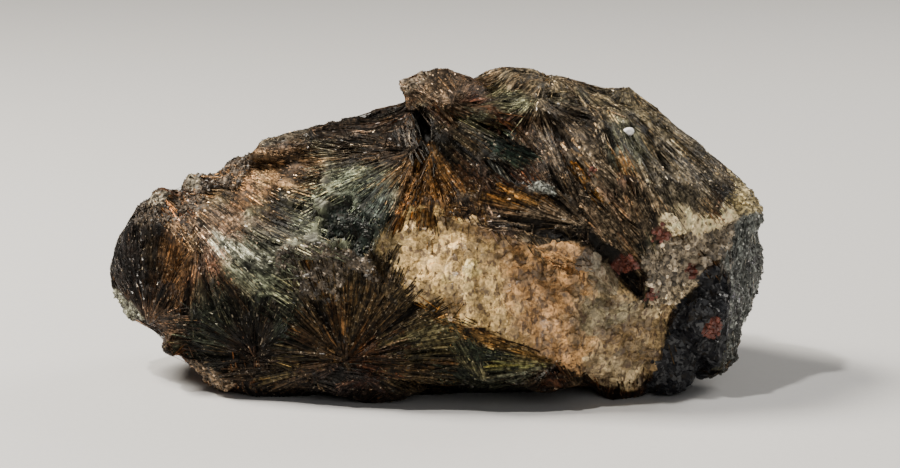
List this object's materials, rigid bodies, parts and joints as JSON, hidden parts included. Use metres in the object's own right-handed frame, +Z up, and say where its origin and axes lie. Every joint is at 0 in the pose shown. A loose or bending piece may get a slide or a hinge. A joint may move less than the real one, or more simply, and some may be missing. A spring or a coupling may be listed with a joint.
{
  "type": "astrophyllite mineral specimen",
  "caption": "Broken hand specimen of astrophyllite: dark bronze sunburst sprays of blades over a cream feldspar pocket, with black aegirine at one end, resting on a flat base.",
  "frame": {"origin": "middle of the specimen's box, seen from above, on the surface that it rests on", "axes": "+X along the specimen's length, from the narrow nose to the broad end; +Y from the displayed face to the back; +Z up"},
  "size_m": [0.1492, 0.0756, 0.0715],
  "materials": {
    "astrophyllite": "bronze-brown blades with a silky, half metallic lustre and greenish patches",
    "feldspar": "cream to orange-tan cleaved grains, faintly glassy",
    "aegirine": "black, glassy to dull",
    "eudialyte": "dull brownish red grains"
  },
  "bodies": {
    "root": {"astrophyllite_rock": "astrophyllite"}
  },
  "joints": []
}
